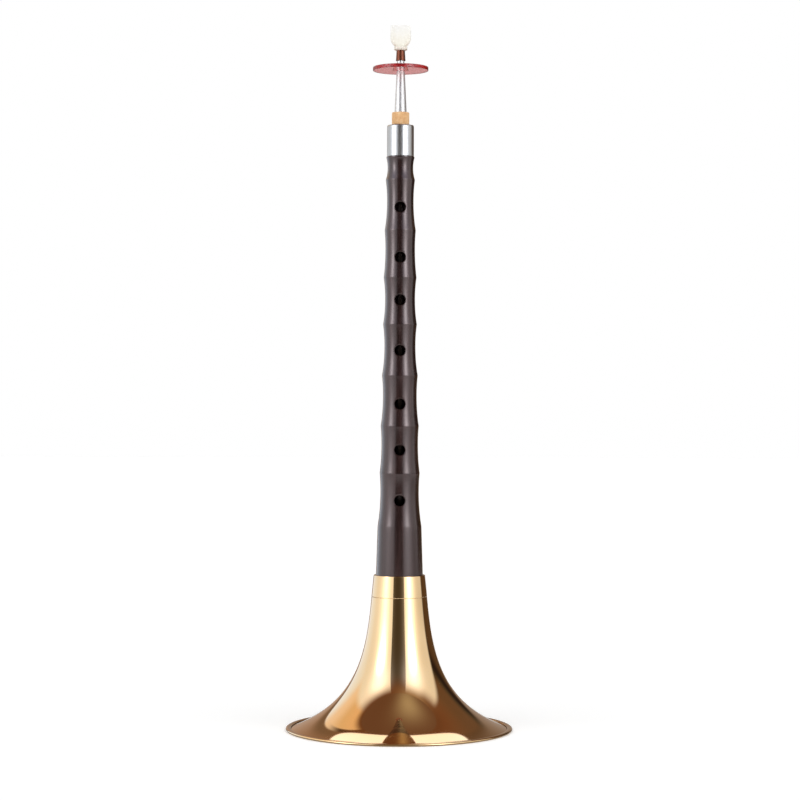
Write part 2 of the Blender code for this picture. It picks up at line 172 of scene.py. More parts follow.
# The cane's shape above its tie: share of the height, how wide and how flat it has become
BLADE = (
    (0.0, 0.0, 0.0),
    (0.09, 0.42, 0.08),
    (0.20, 0.78, 0.22),
    (0.32, 0.95, 0.38),
    (0.46, 1.0, 0.54),
    (0.72, 0.97, 0.80),
    (1.0, 0.90, 1.0),
)


def box(node):
    """The lowest and highest corner of a CAD node."""
    low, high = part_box(node)
    return Vector(low), Vector(high)


def mesh_piece(name, shape, material, body, node, angle=SHARP_ANGLE):
    """A named piece from a bmesh, riding on its body in place of a CAD node."""
    bmesh.ops.recalc_face_normals(shape, faces=shape.faces)
    mesh = bpy.data.meshes.new(name)
    shape.to_mesh(mesh)
    shape.free()
    mesh.materials.append(material)
    mesh.shade_smooth()
    mesh.set_sharp_from_angle(angle=math.radians(angle))
    piece = bpy.data.objects.new(name, mesh)
    bpy.context.scene.collection.objects.link(piece)
    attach(piece, body)
    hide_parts(node)
    return piece


def turned(outline, sides):
    """The ring-shaped solid that a closed outline of (radius, height) sweeps about Z."""
    shape = bmesh.new()
    points = [shape.verts.new((radius, 0.0, height)) for radius, height in outline]
    edges = [shape.edges.new(pair) for pair in zip(points, points[1:] + points[:1])]
    bmesh.ops.spin(
        shape,
        geom=points + edges,
        cent=(0, 0, 0),
        axis=(0, 0, 1),
        angle=math.tau,
        steps=sides,
        use_merge=True,
    )
    return shape


def bridge(shape, pairs):
    """Faces between the two rings of vertices of each pair."""
    for ring, following in pairs:
        for side in range(len(ring)):
            beside = (side + 1) % len(ring)
            shape.faces.new((ring[side], ring[beside], following[beside], following[side]))


def rounded(corners, steps=5):
    """An outline of (radius, height, fillet) corners with each corner rounded by its fillet."""
    outline = []
    for index, (r, z, fillet) in enumerate(corners):
        here = Vector((r, z))
        if fillet <= 0:
            outline.append((r, z))
            continue
        before = Vector(corners[index - 1][:2]) - here
        after = Vector(corners[(index + 1) % len(corners)][:2]) - here
        start = here + before.normalized() * min(fillet, before.length / 2)
        end = here + after.normalized() * min(fillet, after.length / 2)
        if fillet < before.length / 3:
            outline.append(tuple(start + before.normalized() * FLAT_EDGE))
        for step in range(steps + 1):
            t = step / steps
            point = start * (1 - t) ** 2 + here * 2 * t * (1 - t) + end * t**2
            outline.append((point.x, point.y))
        if fillet < after.length / 3:
            outline.append(tuple(end + after.normalized() * FLAT_EDGE))
    return outline


# Node helpers

# Sockets of a mix node that is set to colours
MIX_COLOUR_INPUTS = (0, 6, 7)
MIX_COLOUR_OUTPUT = 2


class Nodes:
    """A material's node tree with short calls for the nodes used here."""

    def __init__(self, name):
        self.material = bpy.data.materials.new(name)
        self.material.use_nodes = True
        self.tree = self.material.node_tree
        self.shader = self.tree.nodes["Principled BSDF"]
        self.place = self.tree.nodes.new("ShaderNodeTexCoord")

    def add(self, kind, links=None, **values):
        """A node with its sockets linked, and with constants for other sockets or its settings."""
        node = self.tree.nodes.new(kind)
        for key, value in values.items():
            if key in node.inputs:
                node.inputs[key].default_value = value
            else:
                setattr(node, key, value)
        for key, source in (links or {}).items():
            self.tree.links.new(source, node.inputs[key])
        return node

    def scaled(self, *cells):
        """Object coordinates scaled so that a noise has about this many cells a metre along X, Y and Z."""
        links = {"Vector": self.place.outputs["Object"]}
        return self.add("ShaderNodeMapping", links, Scale=cells).outputs[0]

    def noise(self, vector, detail=4.0, roughness=0.55):
        links = {"Vector": vector}
        node = self.add("ShaderNodeTexNoise", links, Scale=1.0, Detail=detail, Roughness=roughness)
        return node.outputs["Fac"]

    def ramp(self, factor, stops):
        """A colour ramp through (position, colour or grey) stops."""
        node = self.add("ShaderNodeValToRGB", {"Fac": factor})
        while len(node.color_ramp.elements) < len(stops):
            node.color_ramp.elements.new(0.5)
        for element, (position, colour) in zip(node.color_ramp.elements, stops):
            if not isinstance(colour, tuple):
                colour = (colour, colour, colour)
            element.position = position
            element.color = (*colour, 1.0)
        return node.outputs["Color"]

    def bump(self, height, distance, strength=1.0, normal=None):
        links = {"Height": height}
        if normal is not None:
            links["Normal"] = normal
        return self.add("ShaderNodeBump", links, Distance=distance, Strength=strength).outputs["Normal"]

    def feed(self, socket, value):
        """Links another node's output to a socket, or writes a constant on it."""
        if isinstance(value, bpy.types.NodeSocket):
            self.tree.links.new(value, socket)
        else:
            socket.default_value = value

    def mix(self, kind, factor, first, second):
        node = self.add("ShaderNodeMix", data_type="RGBA", blend_type=kind)
        for index, value in zip(MIX_COLOUR_INPUTS, (factor, first, second)):
            self.feed(node.inputs[index], value)
        return node.outputs[MIX_COLOUR_OUTPUT]

    def set(self, **sources):
        """Feeds the shader's sockets, named with underscores for spaces."""
        for key, value in sources.items():
            self.feed(self.shader.inputs[key.replace("_", " ")], value)
        return self.material

    def maths(self, operation, *values):
        node = self.add("ShaderNodeMath", operation=operation)
        for socket, value in zip(node.inputs, values):
            self.feed(socket, value)
        return node.outputs[0]

    def axes(self):
        return self.add("ShaderNodeSeparateXYZ", {"Vector": self.place.outputs["Object"]}).outputs

    def away(self):
        """The distance from the Z axis."""
        x, y, _ = self.axes()
        return self.maths("SQRT", self.maths("ADD", self.squared(x), self.squared(y)))

    def squared(self, value):
        return self.maths("MULTIPLY", value, value)

    def step(self, value, edge, softness):
        """0 below the edge and 1 above it, changing smoothly over the softness on both sides."""
        node = self.add("ShaderNodeMapRange", {"Value": value}, interpolation_type="SMOOTHSTEP")
        node.inputs["From Min"].default_value = edge - softness
        node.inputs["From Max"].default_value = edge + softness
        return node.outputs["Result"]

    def band(self, value, start, end):
        """1 between two (edge, softness) steps and 0 outside them."""
        return self.maths("SUBTRACT", self.step(value, *start), self.step(value, *end))

    def spot(self, value, centre, spread):
        """A bell curve round the centre."""
        far = self.maths("DIVIDE", self.maths("SUBTRACT", value, centre), spread)
        return self.maths("EXPONENT", self.maths("MULTIPLY", self.squared(far), -0.5))

    def plus(self, below, amount, light):
        """The light below plus an amount of another light."""
        node = self.add("ShaderNodeVectorMath", {0: amount}, operation="MULTIPLY_ADD")
        self.feed(node.inputs[1], light)
        self.feed(node.inputs[2], below)
        return node.outputs[0]


class Light(Nodes):
    """A material that only gives light."""

    def __init__(self, name):
        super().__init__(name)
        self.tree.nodes.remove(self.shader)
        self.shader = self.tree.nodes.new("ShaderNodeEmission")
        self.tree.links.new(self.shader.outputs[0], self.tree.nodes["Material Output"].inputs["Surface"])


def metal(name, dark, light, smooth, rough, rings, lacquer=0.0):
    """Worked metal between two colours and two roughnesses, with turned rings and maybe a lacquer."""
    m = Nodes(name)
    m.set(Metallic=1.0, Coat_Weight=lacquer, Coat_Roughness=0.03, Coat_IOR=1.8)
    slow = m.noise(m.scaled(30, 30, 30), 3.0)
    fine = m.noise(m.scaled(900, 900, 900), 6.0, 0.7)
    m.set(Base_Color=m.ramp(slow, ((0.35, dark), (0.65, light))))
    smudge = m.mix("MIX", 0.35, slow, fine)
    m.set(Roughness=m.ramp(smudge, ((0.35, smooth), (0.7, rough))))
    turning = m.noise(m.scaled(0.001, 0.001, 4200), 2.0)
    m.set(Normal=m.bump(turning, 0.02 * MM, rings))
    return m.material


def wood(name):
    """Dark oiled rosewood: lengthwise figure, darker veins, fine open pores and a polished skin."""
    m = Nodes(name)
    warp = m.noise(m.scaled(26, 26, 5), 2.0)
    moved = m.plus(m.scaled(260, 260, 9), warp, (0.6, 0.6, 0.25))
    figure = m.noise(moved, 6.0, 0.6)
    veins = m.noise(m.scaled(900, 900, 16), 5.0, 0.6)
    pores = m.noise(m.scaled(3200, 3200, 110), 2.0, 0.5)
    tone = m.ramp(
        figure,
        (
            (0.30, (0.011, 0.004, 0.0045)),
            (0.48, (0.021, 0.0085, 0.0085)),
            (0.62, (0.032, 0.0135, 0.013)),
            (0.80, (0.040, 0.018, 0.0155)),
        ),
    )
    veined = m.mix("MULTIPLY", 0.55, tone, m.ramp(veins, ((0.38, 0.35), (0.58, 1.0))))
    pored = m.mix("MULTIPLY", 0.7, veined, m.ramp(pores, ((0.30, 0.25), (0.40, 1.0))))
    # The reddish specular tint is partly the oiled wood's own warm sheen and partly a painted reflection of
    # warm light bounced up from the brass bell.
    m.set(Base_Color=pored, IOR=1.5, Specular_Tint=(1.0, 0.74, 0.72, 1.0))
    m.set(Coat_Weight=1.0, Coat_Roughness=0.16, Coat_IOR=1.4)
    m.set(Roughness=m.ramp(veins, ((0.3, 0.18), (0.7, 0.27))))
    relief = m.bump(m.ramp(pores, ((0.30, 0.0), (0.42, 1.0))), 0.03 * MM, 0.5)
    m.set(Normal=m.bump(veins, 0.02 * MM, 0.35, relief))
    return m.material


def cork(name):
    """Sanded cork: tan ground with dark pits and paler grains."""
    m = Nodes(name)
    links = {"Vector": m.place.outputs["Object"]}
    cells = m.add("ShaderNodeTexVoronoi", links, Scale=1500.0, Randomness=1.0)
    ground = m.noise(m.scaled(420, 420, 420), 5.0, 0.6)
    flecks = m.noise(m.scaled(1400, 1400, 700), 3.0, 0.6)
    tans = ((0.30, (0.72, 0.38, 0.16)), (0.50, (0.88, 0.51, 0.23)), (0.70, (0.94, 0.65, 0.36)))
    tone = m.ramp(ground, tans)
    grains = m.ramp(cells.outputs["Distance"], ((0.0, 1.0), (0.8, 0.75)))
    pits = m.ramp(flecks, ((0.30, (0.35, 0.19, 0.10)), (0.38, (1.0, 1.0, 1.0))))
    m.set(Base_Color=m.mix("MULTIPLY", 0.7, m.mix("MULTIPLY", 0.35, tone, grains), pits), Roughness=0.82)
    m.set(Normal=m.bump(m.mix("MIX", 0.5, flecks, ground), 0.12 * MM, 0.6))
    return m.material


def red_plastic(name):
    """Clear plastic, red by its depth: pale polished faces, and a deeper rim that is frosted and pink."""
    m = Nodes(name)
    cloud = m.noise(m.scaled(120, 120, 120), 3.0)
    scratches = m.noise(m.scaled(2500, 160, 2500), 4.0, 0.7)
    skin = m.ramp(cloud, ((0.3, (0.97, 0.90, 0.90)), (0.7, (0.99, 0.95, 0.95))))
    polish = m.ramp(scratches, ((0.4, 0.02), (0.7, 0.05)))
    rim = m.step(m.away(), box("pirouette_disc")[1].x - RIM_WIDTH, RIM_FADE)
    m.set(Base_Color=m.mix("MIX", rim, skin, RIM_PINK), Roughness=m.mix("MIX", rim, polish, RIM_FROST))
    m.set(IOR=1.49, Transmission_Weight=1.0, Specular_IOR_Level=0.3)
    m.set(Normal=m.bump(scratches, 0.01 * MM, 0.03))
    depth = m.add("ShaderNodeVolumeAbsorption", Color=(0.88, 0.0, 0.09, 1.0), Density=250.0)
    m.tree.links.new(depth.outputs["Volume"], m.tree.nodes["Material Output"].inputs["Volume"])
    return m.material


def cane(name):
    """Scraped reed cane: ivory, yellower at its tied base, with fine lengthwise fibres."""
    m = Nodes(name)
    low, high = box("reed_cane")
    fibres = m.noise(m.scaled(4200, 4200, 60), 4.0, 0.6)
    broad = m.noise(m.scaled(350, 350, 90), 3.0)
    pale = m.ramp(broad, ((0.3, (0.93, 0.92, 0.87)), (0.7, (0.96, 0.955, 0.93))))
    yellow = m.ramp(broad, ((0.3, (0.91, 0.87, 0.73)), (0.7, (0.95, 0.92, 0.81))))
    scraped = m.step(m.axes()["Z"], (low.z + high.z) / 2, (high.z - low.z) / 2)
    skin = m.mix("MIX", scraped, yellow, pale)
    lines = m.ramp(fibres, ((0.30, (0.86, 0.80, 0.66)), (0.52, (1.0, 1.0, 1.0))))
    m.set(Base_Color=m.mix("MULTIPLY", 0.25, skin, lines), Roughness=0.5)
    m.set(Normal=m.bump(fibres, 0.01 * MM, 0.3))
    return m.material


def plain_fibre(name, low, high, rough):
    """Waxed thread or greased rubber: two close tones in fine noise."""
    m = Nodes(name)
    fine = m.noise(m.scaled(5000, 5000, 5000), 3.0)
    m.set(Base_Color=m.ramp(fine, ((0.3, low), (0.7, high))), Roughness=rough)
    m.set(Normal=m.bump(fine, 0.02 * MM, 0.4))
    return m.material


# Pieces


def flare_line(neck, rim, slope):
    """The flare's outer outline, one Bezier that leaves the neck at the collar's slope."""
    drop = FLARE_NECK_SHARE * (neck.y - rim.y)
    reach = FLARE_RIM_SHARE * (rim.x - neck.x)
    below_neck = neck + Vector((drop * slope, -drop))
    beside_rim = rim + Vector((-reach, reach * math.tan(FLARE_RIM_ANGLE)))
    return interpolate_bezier(neck, below_neck, beside_rim, rim, FLARE_STEPS)


def shifted(line, depth):
    """The line moved to its inner side by a depth, square to its direction."""
    moved = []
    for index, point in enumerate(line):
        along = (line[min(index + 1, len(line) - 1)] - line[max(index - 1, 0)]).normalized()
        moved.append(point + Vector((along.y, -along.x)) * depth)
    return moved


def hem_arc(centre, inset):
    """The rolled hem in (radius, height) points, from the flare round to its end."""
    arc = []
    for step in range(HEM_STEPS + 1):
        angle = HEM_START - HEM_SWEEP * step / HEM_STEPS
        radius = centre.x + (HEM_WIDTH / 2 - inset) * math.cos(angle)
        height = centre.y + (HEM_HEIGHT / 2 - inset) * math.sin(angle)
        arc.append((radius, height))
    return arc


def make_bell(outer, inner):
    """The flare with its hem rolled tight, in polished brass outside and duller brass inside."""
    edge = box("bell_flare")[1]
    collar_top = box("bell_collar")[1]
    neck = Vector((collar_top.x, edge.z))
    slope = (collar_top.x - (FOOT_RADIUS + COLLAR_WALL)) / (collar_top.z - edge.z)
    rim = Vector((edge.x - HEM_WIDTH + BELL_SHEET / 2, HEM_HEIGHT / 2))
    outside = flare_line(neck, rim, slope)
    inside = shifted(outside, BELL_SHEET)
    centre = Vector((edge.x - HEM_WIDTH / 2, HEM_HEIGHT / 2))
    throat = hem_arc(centre, BELL_SHEET)[::-1]
    outline = [tuple(p) for p in outside] + throat + hem_arc(centre, 0.0) + [tuple(p) for p in inside[::-1]]
    shape = turned(outline, BELL_SIDES)
    piece = mesh_piece("bell_flare_spun", shape, outer, "bell", "bell_flare", 40)
    piece.data.materials.append(inner)
    for face in piece.data.polygons:
        middle = face.center
        facing = face.normal.x * middle.x + face.normal.y * middle.y
        inward = facing < 0 or face.normal.z < INSIDE_TILT
        if inward and math.hypot(middle.x, middle.y) < rim.x - INSIDE_MARGIN:
            face.material_index = 1


def make_collar(material):
    """The collar: a cone between seam and socket, over a spigot inside the flare with the pipe's stop."""
    low, high = box("bell_collar")
    seam = box("bell_flare")[1].z + GAP
    socket = FOOT_RADIUS + GAP
    spigot = high.x - BELL_SHEET - GAP
    stop, stop_top = socket - STOP_WIDTH, low.z + STOP_HEIGHT
    corners = [
        (socket, high.z, 0.15 * MM),
        (FOOT_RADIUS + COLLAR_WALL, high.z, 0.30 * MM),
        (high.x, seam, 0.08 * MM),
        (spigot, seam, 0),
        (spigot, low.z, 0.2 * MM),
        (stop, low.z, 0.2 * MM),
        (stop, stop_top, 0.2 * MM),
        (socket, stop_top, 0),
    ]
    shape = turned(rounded(corners), COLLAR_SIDES)
    mesh_piece("bell_collar_turned", shape, material, "bell", "bell_collar")


def joint_radius(above, ridge, waist, share):
    """A joint's radius at a share of its length, from the ridge above it to its own ridge."""
    hollow = (above + ridge) / 2 - waist
    depth = hollow * (1 - abs(2 * share - 1) ** WAIST_FLATNESS)
    return above + (ridge - above) * share - depth


def joint_shares(length):
    """Shares of a joint's length where its outline has a point, closest together beside its ridges."""
    ease = RIDGE_EASE / length
    even = [step / JOINT_STEPS for step in range(1, JOINT_STEPS)]
    return [ease, 3 * ease] + even + [1 - 3 * ease, 1 - ease]


def pipe_outline():
    """The wood's outline from its lip down the joints and the tenon, and back up the bore."""
    low, high = box("wood_pipe")
    tenon_top = low.z + TENON_LENGTH
    lip = [
        (LINER_RADIUS, high.z, 0.1 * MM),
        (LIP_RADIUS, high.z, 0.35 * MM),
        (LIP_RADIUS, high.z - LIP_HEIGHT, 0),
    ]
    outline = rounded(lip, 4)
    start, above = high.z - LIP_HEIGHT, LIP_RADIUS
    for length, ridge, waist, _ in PIPE_JOINTS:
        for share in joint_shares(length):
            outline.append((joint_radius(above, ridge, waist, share), start - length * share))
        start -= length
        above = ridge
    for step in range(FOOT_STEPS + 1):
        share = max(step / FOOT_STEPS, RIDGE_EASE / FOOT_LENGTH)
        outline.append((above + (FOOT_RADIUS - above) * share, start - (start - tenon_top) * share))
    band_top, band_foot = tenon_top - BAND_DROP, low.z + BAND_RISE
    tenon = FOOT_RADIUS - TENON_CUT
    outline += [
        (FOOT_RADIUS, band_top),
        (tenon, band_top),
        (tenon, band_foot),
        (FOOT_RADIUS, band_foot),
        (FOOT_RADIUS, low.z + FOOT_CHAMFER),
        (FOOT_RADIUS - FOOT_CHAMFER, low.z),
        (BORE_FOOT_RADIUS, low.z),
    ]
    floor = high.z - LINER_DEPTH
    for step in range(1, BORE_STEPS + 1):
        share = step / BORE_STEPS
        radius = BORE_FOOT_RADIUS + (BORE_TOP_RADIUS - BORE_FOOT_RADIUS) * share
        outline.append((radius, low.z + (floor - low.z) * share))
    outline.append((LINER_RADIUS, floor))
    return outline


def pipe_radius(drop):
    """The radius of the wood's joints at a distance below the lip."""
    above = LIP_RADIUS
    for length, ridge, waist, _ in PIPE_JOINTS:
        if drop < length:
            return joint_radius(above, ridge, waist, drop / length)
        drop -= length
        above = ridge
    return above


def hole_places():
    """(distance below the lip, side) of each hole; side -1 is the front."""
    start = 0.0
    places = []
    for index, (length, _, _, drop) in enumerate(PIPE_JOINTS):
        if drop is not None:
            places.append((start + drop, -1))
        start += length
        if index == 1:
            places.append((start - THUMB_RISE, 1))
    return places


def cutter_rings():
    """(radius, depth under the skin) of a hole cutter's rings; the first one lies on the horn's axis."""
    rings = [(HOLE_RADIUS, None)]
    for step in range(EASE_STEPS + 1):
        turn = EASE_TURN * step / EASE_STEPS
        rings.append((HOLE_RADIUS + HOLE_EASE * (1 - math.cos(turn)), HOLE_EASE * (1 - math.sin(turn))))
    radius, depth = rings[-1]
    run = HOLE_EASE / 2
    rings.append((radius + run, depth - run / math.tan(EASE_TURN)))
    rings.append((radius + run, depth - CUTTER_RISE))
    return rings


def add_cutter(shape, lip, drop, side):
    """A rod for one hole that flares where it meets the wood's skin, so that the hole's edge is eased."""
    loops = []
    for radius, depth in cutter_rings():
        loop = []
        for corner in range(HOLE_SIDES):
            angle = math.tau * corner / HOLE_SIDES
            x, below = radius * math.cos(angle), drop + radius * math.sin(angle)
            skin = math.sqrt(pipe_radius(below) ** 2 - x**2)
            y = 0.0 if depth is None else side * (skin - depth)
            loop.append(shape.verts.new((x, y, lip - below)))
        loops.append(loop)
    bridge(shape, zip(loops, loops[1:]))
    shape.faces.new(loops[0][::-1])
    shape.faces.new(loops[-1])


def hole_cutters():
    """The rods that cut the seven front holes and the thumb hole, as one object."""
    shape = bmesh.new()
    lip = box("wood_pipe")[1].z - LIP_HEIGHT
    for drop, side in hole_places():
        add_cutter(shape, lip, drop, side)
    bmesh.ops.recalc_face_normals(shape, faces=shape.faces)
    mesh = bpy.data.meshes.new("hole_cutters")
    shape.to_mesh(mesh)
    shape.free()
    cutter = bpy.data.objects.new("hole_cutters", mesh)
    bpy.context.scene.collection.objects.link(cutter)
    return cutter


def make_pipe(material):
    """The bamboo-turned pipe with its eight holes cut and their edges eased."""
    shape = turned(pipe_outline(), PIPE_SIDES)
    piece = mesh_piece("wood_pipe_turned", shape, material, "pipe", "wood_pipe")
    cutter = hole_cutters()
    cut = piece.modifiers.new("holes", "BOOLEAN")
    cut.operation = "DIFFERENCE"
    cut.object = cutter
    graph = bpy.context.evaluated_depsgraph_get()
    done = bpy.data.meshes.new_from_object(piece.evaluated_get(graph))
    piece.modifiers.clear()
    piece.data = done
    done.name = "wood_pipe_turned"
    done.shade_smooth()
    done.set_sharp_from_angle(angle=math.radians(SHARP_ANGLE))
    bpy.data.objects.remove(cutter)


def make_head(material):
    """The plated head, its foot drawn down over most of the running gap to the wood."""
    low, high = box("tuning_head")
    foot, floor = low.z - HEAD_SEAT, low.z + HEAD_FLOOR
    corners = [
        (HEAD_BORE, foot, 0.1 * MM),
        (high.x, foot, 0.15 * MM),
        (high.x, high.z, 1.1 * MM),
        (HEAD_SOCKET, high.z, 0.25 * MM),
        (HEAD_SOCKET, floor, 0),
        (HEAD_BORE, floor, 0),
    ]
    shape = turned(rounded(corners, 7), HEAD_SIDES)
    mesh_piece("tuning_head_turned", shape, material, "tuning_core", "tuning_head")


def make_staple(material):
    """The staple: straight inside its cork, and tapered from its shoulder to its tip."""
    low, high = box("staple_tube")
    shoulder = high.z - STAPLE_TAPER
    corners = [
        (high.x - STAPLE_WALL, low.z, 0.08 * MM),
        (high.x, low.z, 0.08 * MM),
        (high.x, shoulder, 1.5 * MM),
        (STAPLE_TIP, high.z, 0.1 * MM),
        (STAPLE_TIP - STAPLE_WALL, high.z, 0.1 * MM),
        (high.x - STAPLE_WALL, shoulder, 1.5 * MM),
    ]
    shape = turned(rounded(corners), STAPLE_SIDES)
    mesh_piece("staple_tube_drawn", shape, material, "staple", "staple_tube")


def make_staple_cork(material):
    low, high = box("staple_cork")
    corners = [
        (CORK_BORE, low.z, 0),
        (high.x, low.z, 0.5 * MM),
        (high.x, high.z, 0.55 * MM),
        (CORK_BORE, high.z, 0.1 * MM),
    ]
    shape = turned(rounded(corners), STAPLE_SIDES)
    mesh_piece("staple_cork_sanded", shape, material, "staple", "staple_cork")


def make_disc(material):
    """The lip disc: rounded rim, low hub with a soft foot, bored to the staple's taper."""
    low, high = box("pirouette_disc")
    face = low.z + DISC_THICKNESS
    corners = [
        (DISC_BORE_FOOT, low.z, 0.1 * MM),
        (high.x, low.z, 0.20 * MM),
        (high.x, face, 0.35 * MM),
        (HUB_RADIUS, face, 0.5 * MM),
        (HUB_RADIUS, high.z, 0.5 * MM),
        (DISC_BORE_TOP, high.z, 0.1 * MM),
    ]
    shape = turned(rounded(corners, 6), DISC_SIDES)
    name, slot = "pirouette_disc_moulded", "red_plastic"
    mesh_piece(name, shape, material, "pirouette", "pirouette_disc", 50)


def make_reed_tube(material):
    """The reed's tube, tapered towards the cane and widened inside to seat on the staple's tip."""
    low, high = box("reed_tube")
    top = high.x - TUBE_TAPER
    corners = [
        (high.x - TUBE_WALL, low.z, 0.05 * MM),
        (high.x, low.z, 0.12 * MM),
        (top, high.z, 0.1 * MM),
        (top - TUBE_WALL, high.z, 0.1 * MM),
        (TUBE_SEAT_RADIUS, low.z + TUBE_SEAT_RISE, 0),
    ]
    shape = turned(rounded(corners), TUBE_SIDES)
    mesh_piece("reed_tube_drawn", shape, material, "reed", "reed_tube")


def blade_shape(share):
    """How wide and how flat the cane is at a share of its free height, by a Catmull-Rom spline."""
    index = 0
    while index < len(BLADE) - 2 and share > BLADE[index + 1][0]:
        index += 1
    before, start = BLADE[max(index - 1, 0)], BLADE[index]
    end, after = BLADE[index + 1], BLADE[min(index + 2, len(BLADE) - 1)]
    span = end[0] - start[0]
    t = (share - start[0]) / span
    values = []
    for axis in (1, 2):
        leaving = (end[axis] - before[axis]) / (end[0] - before[0]) * span
        arriving = (after[axis] - start[axis]) / (after[0] - start[0]) * span
        values.append(
            (2 * t**3 - 3 * t**2 + 1) * start[axis]
            + (t**3 - 2 * t**2 + t) * leaving
            + (3 * t**2 - 2 * t**3) * end[axis]
            + (t**3 - t**2) * arriving
        )
    return values


def cane_sections():
    """(half width, half depth, height) of the cane's outside, from its tied base to its tip."""
    low, high = box("reed_cane")
    free = low.z + CANE_TIED
    sections = [(CANE_BASE, CANE_BASE, low.z), (CANE_BASE, CANE_BASE, low.z + CANE_TIED / 2)]
    for row in range(CANE_ROWS + 1):
        share = row / CANE_ROWS
        widening, flattening = blade_shape(share)
        half_width = CANE_BASE + (high.x - CANE_BASE) * widening
        half_depth = CANE_BASE + (CANE_TIP - CANE_BASE) * flattening
        sections.append((half_width, half_depth, free + (high.z - free) * share))
    return sections


def cane_ring(shape, section, inset):
    """A ring of vertices at one section of the cane, inset from its outside."""
    half_width, half_depth, height = section
    ring = []
    for side in range(CANE_SIDES):
        angle = math.tau * side / CANE_SIDES
        x = (half_width - inset) * math.cos(angle)
        y = (half_depth - inset) * math.sin(angle)
        ring.append(shape.verts.new((x, y, height)))
    return ring


def make_cane(material):
    """The cane: round and tied at its base, pressed to two blades at its tip."""
    sections = cane_sections()
    shape = bmesh.new()
    rings = [cane_ring(shape, section, 0.0) for section in sections]
    rings += [cane_ring(shape, section, CANE_WALL) for section in sections[::-1]]
    bridge(shape, zip(rings, rings[1:] + rings[:1]))
    mesh_piece("reed_cane_blades", shape, material, "reed", "reed_cane", 50)


def thread_ring(shape, centre, height, thickness, turn):
    """A ring of vertices round the thread, where it has turned this far round the horn's axis."""
    ring = []
    for side in range(THREAD_SIDES):
        angle = math.tau * side / THREAD_SIDES
        radius = centre + thickness * math.cos(angle)
        z = height + thickness * math.sin(angle)
        ring.append(shape.verts.new((radius * math.cos(turn), radius * math.sin(turn), z)))
    return ring


def make_binding(material):
    """Turns of thread side by side round the cane's base."""
    low, high = box("reed_binding")
    thickness = (high.z - low.z) / 2 / THREAD_TURNS
    steps = THREAD_STEPS * THREAD_TURNS
    shape = bmesh.new()
    rings = []
    for step in range(steps + 1):
        height = low.z + thickness + (high.z - low.z - 2 * thickness) * step / steps
        turn = math.tau * THREAD_TURNS * step / steps
        rings.append(thread_ring(shape, high.x - thickness, height, thickness, turn))
    bridge(shape, zip(rings, rings[1:]))
    shape.faces.new(rings[0])
    shape.faces.new(rings[-1][::-1])
    name, slot = "reed_binding_thread", "binding_thread"
    mesh_piece(name, shape, material, "reed", "reed_binding", 60)


# Studio

WALL_RADIUS = 1.0
WALL_TOP = 1.75
WALL_SIDES = 96
CARD_RADIUS = 0.3
CARD_HEIGHT = 0.2 * MM
CARD_FADE = (0.18, 0.12)
FLOOR_SIZE = 6.0
FLOOR_GLOW = 0.2

# Two soft suns and an even sky, for everything but mirror images
SUN_STRENGTH = 0.9
SUN_SOFTNESS = math.radians(55)
SUN_HEIGHT = math.radians(38)
SUN_SIDE = math.radians(48)
SKY_STRENGTH = 0.52

# The unlit wall, and softboxes on it as (from azimuth, softness), (to azimuth, softness),
# (foot height, softness), (top height, softness) and light. Azimuth 0 is the front, in degrees,
# and a box with negative light takes light away.
DARK_FLAG = (0.063, 0.048, 0.028)
SOFTBOXES = (
    ((-112, 8), (-25.5, 1.2), (-1, 0.1), (1.40, 0.36), (0.90, 0.94, 0.98)),
    ((-152.5, 0.8), (-112, 8), (-1, 0.1), (0.52, 0.15), (0.90, 1.00, 1.12)),
    ((-152.5, 0.8), (-112, 8), (0.52, 0.15), (0.85, 0.2), (0.92, 0.74, 0.58)),
    ((-149, 0.8), (-112, 8), (0.85, 0.2), (1.53, 0.20), (0.74, 0.53, 0.30)),
    ((-170, 4), (-152.5, 0.8), (-1, 0.1), (1.30, 0.4), (0.14, 0.08, 0.05)),
    ((20, 1.0), (67, 12), (-1, 0.1), (1.37, 0.38), (0.86, 0.90, 0.94)),
    ((67, 12), (106, 4), (0.05, 0.15), (0.48, 0.2), (0.82, 0.83, 0.84)),
    ((67, 12), (105, 6), (0.48, 0.2), (1.25, 0.35), (0.84, 0.86, 0.88)),
    ((108, 8), (157, 4), (-1, 0.1), (0.22, 0.08), (0.040, 0.010, 0.0)),
    ((108, 8), (157, 4), (0.22, 0.08), (0.38, 0.06), (-0.036, -0.032, -0.016)),
    ((105, 8), (157, 4), (0.46, 0.10), (1.25, 0.4), (0.09, 0.036, 0.016)),
    ((158, 3), (200, 1), (-1, 0.1), (0.35, 0.45), (0.20, 0.18, 0.16)),
    ((-200, 1), (-158, 3), (-1, 0.1), (0.35, 0.45), (0.20, 0.18, 0.16)),
    ((158, 3), (200, 1), (-1, 0.1), (1.0, 0.3), (0.09, 0.045, 0.03)),
    ((-200, 1), (-158, 3), (-1, 0.1), (1.0, 0.3), (0.09, 0.045, 0.03)),
    ((-200, 1), (200, 1), (1.10, 0.40), (9, 1), (0.10, 0.020, 0.003)),
)

# The softboxes' brightest places: azimuth and its spread, height and its spread, light
HOT_SPOTS = (
    ((-58, 7.5), (0.46, 0.13), (5.8, 5.9, 6.0)),
    ((42, 7.5), (0.46, 0.15), (6.2, 6.3, 6.4)),
    ((-58, 18), (0.88, 0.29), (1.0, 1.12, 1.5)),
    ((43, 17), (0.83, 0.27), (1.0, 1.12, 1.5)),
    ((-58, 15), (0.15, 0.22), (0.78, 0.80, 0.82)),
    ((44, 14), (0.15, 0.22), (0.90, 0.92, 0.94)),
    ((45, 30), (1.75, 0.35), (0.22, 0.20, 0.14)),
)

# The ceiling, and the wide patch on it: its light, and its place and spread along X and Y
CEILING_DIM = (0.158, 0.078, 0.045)
CEILING_BOUNCE = (0.28, 0.28, 0.20)
BOUNCE_ACROSS = (0.35, 0.3)
BOUNCE_ALONG = (-0.45, 0.5)

